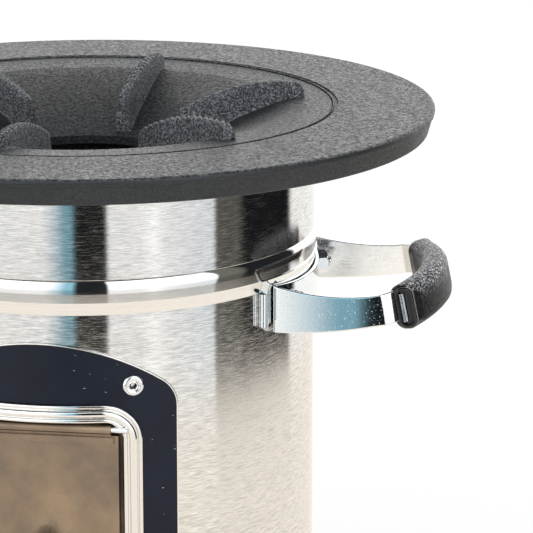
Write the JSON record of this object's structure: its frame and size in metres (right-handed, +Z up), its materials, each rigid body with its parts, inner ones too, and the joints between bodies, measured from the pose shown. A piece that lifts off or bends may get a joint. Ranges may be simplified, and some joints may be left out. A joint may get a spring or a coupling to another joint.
{
  "type": "rocket stove",
  "caption": "Wood-burning rocket stove: round steel drum, wide cast-iron cooktop with toothed pot fins, front fuel opening with hinged flap and sliding stick shelf, two side handles.",
  "frame": {"origin": "on the floor under the middle of the drum", "axes": "+Z up through the flue, -Y out of the fuel opening, handles along +X and -X"},
  "size_m": [0.3488, 0.33, 0.2962],
  "materials": {
    "cast_iron": "rough cast, seasoned",
    "brushed_steel": "stainless, brushed round the drum",
    "polished_steel": "stainless, polished",
    "base_steel": "satin black",
    "chamber_steel": "heat-darkened steel",
    "insulation": "light ceramic fibre blanket",
    "fascia": "satin blue-black",
    "rivet": "bright",
    "zinc_hardware": "bright zinc",
    "door_steel": "heat-browned steel",
    "handle_chrome": "bright zinc-chromed strap",
    "grip": "moulded black, fine grain"
  },
  "bodies": {
    "stove": {"cooktop_rim": "cast_iron", "burner_bowl": "cast_iron", "pot_fins": "cast_iron", "upper_drum": "brushed_steel", "lower_drum": "brushed_steel", "base_pan": "base_steel", "base_screws": "zinc_hardware", "riser_liner": "chamber_steel", "riser_gasket": "insulation", "feed_tunnel": "chamber_steel", "chamber_floor": "chamber_steel", "chamber_stand": "chamber_steel", "insulation_core": "insulation", "fascia_plate": "fascia", "fascia_rivets": "rivet", "feed_frame": "polished_steel", "door_hinge_pin": "zinc_hardware", "shelf_runners": "chamber_steel", "cooktop_brackets": "zinc_hardware", "cooktop_screws": "zinc_hardware", "handle_strap_right": "handle_chrome", "handle_strap_left": "handle_chrome", "handle_grip_right": "grip", "handle_grip_left": "grip", "handle_backplate_right": "handle_chrome", "handle_backplate_left": "handle_chrome", "handle_bolts": "zinc_hardware", "handle_washers": "zinc_hardware", "handle_nuts": "zinc_hardware"},
    "flap": {"feed_door": "door_steel", "door_knob": "zinc_hardware"},
    "shelf": {"fuel_shelf": "polished_steel"}
  },
  "joints": [
    {"name": "flap_hinge", "type": "hinge", "parent": "stove", "child": "flap", "pos_m": [0, -0.1045, 0.1623], "axis": [-1, 0, 0], "range_deg": [0, 85]},
    {"name": "shelf_slide", "type": "slide", "parent": "stove", "child": "shelf", "axis": [0, -1, 0], "range_m": [0, 0.055]}
  ]
}
